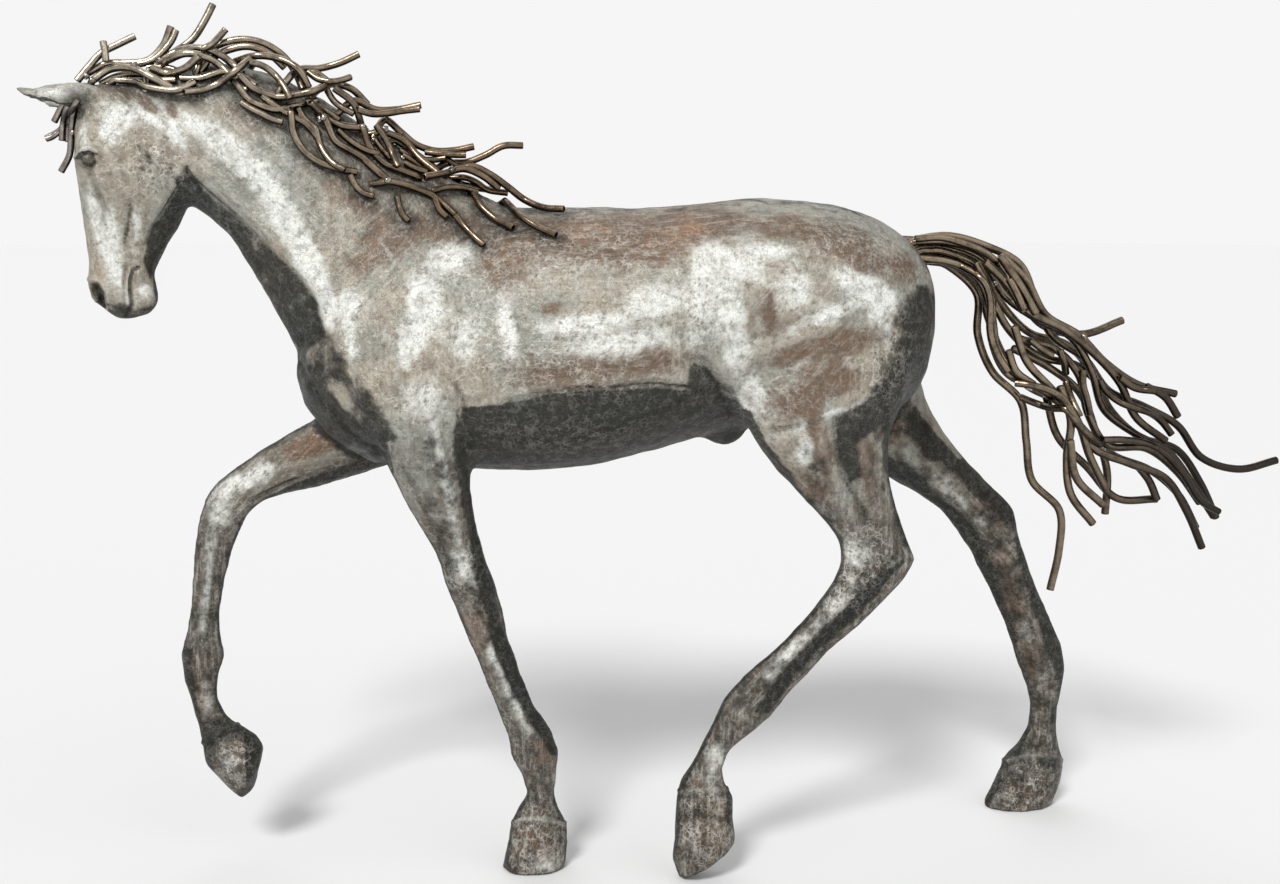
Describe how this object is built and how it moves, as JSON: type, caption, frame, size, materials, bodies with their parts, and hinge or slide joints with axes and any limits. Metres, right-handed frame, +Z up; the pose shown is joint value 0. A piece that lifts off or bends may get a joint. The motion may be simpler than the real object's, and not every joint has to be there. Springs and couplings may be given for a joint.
{
  "type": "scrap metal horse sculpture",
  "caption": "Life-size walking horse of welded and ground sheet steel with a forelock, mane and tail of bent steel rods, standing on three hooves with one foreleg raised.",
  "frame": {"origin": "on the ground, under the middle of the whole figure's box", "axes": "the horse faces -X, its near (left) side is -Y, +Z is up"},
  "size_m": [3.093, 0.5744, 2.0945],
  "materials": {
    "horse_body": "hammered and crackled sheet steel, ground pale on the high places, with brown and grey-green patina",
    "forelock_rod": "satin bent steel rod",
    "mane_rod": "satin bent steel rod with a bronze-brown patina",
    "tail_rod": "satin bent steel rod, bronze-brown at the dock and near black at the tips"
  },
  "bodies": {
    "root": {"horse_body": "horse_body", "forelock_rod_01": "forelock_rod", "forelock_rod_02": "forelock_rod", "forelock_rod_03": "forelock_rod", "forelock_rod_04": "forelock_rod", "mane_rod_01": "mane_rod", "mane_rod_02": "mane_rod", "mane_rod_03": "mane_rod", "mane_rod_04": "mane_rod", "mane_rod_05": "mane_rod", "mane_rod_06": "mane_rod", "mane_rod_07": "mane_rod", "mane_rod_08": "mane_rod", "mane_rod_09": "mane_rod", "mane_rod_10": "mane_rod", "mane_rod_11": "mane_rod", "mane_rod_12": "mane_rod", "mane_rod_13": "mane_rod", "mane_rod_14": "mane_rod", "mane_rod_15": "mane_rod", "mane_rod_16": "mane_rod", "mane_rod_17": "mane_rod", "mane_rod_18": "mane_rod", "mane_rod_19": "mane_rod", "mane_rod_20": "mane_rod", "mane_rod_21": "mane_rod", "mane_rod_22": "mane_rod", "mane_rod_23": "mane_rod", "mane_rod_24": "mane_rod", "mane_rod_25": "mane_rod", "mane_rod_26": "mane_rod", "mane_rod_27": "mane_rod", "mane_rod_28": "mane_rod", "mane_rod_29": "mane_rod", "mane_rod_30": "mane_rod", "mane_rod_31": "mane_rod", "mane_rod_32": "mane_rod", "mane_rod_33": "mane_rod", "tail_rod_01": "tail_rod", "tail_rod_02": "tail_rod", "tail_rod_03": "tail_rod", "tail_rod_04": "tail_rod", "tail_rod_05": "tail_rod", "tail_rod_06": "tail_rod", "tail_rod_07": "tail_rod", "tail_rod_08": "tail_rod", "tail_rod_09": "tail_rod", "tail_rod_10": "tail_rod", "tail_rod_11": "tail_rod", "tail_rod_12": "tail_rod", "tail_rod_13": "tail_rod", "tail_rod_14": "tail_rod", "tail_rod_15": "tail_rod", "tail_rod_16": "tail_rod", "tail_rod_17": "tail_rod", "tail_rod_18": "tail_rod", "tail_rod_19": "tail_rod", "tail_rod_20": "tail_rod", "tail_rod_21": "tail_rod", "tail_rod_22": "tail_rod"}
  },
  "joints": []
}
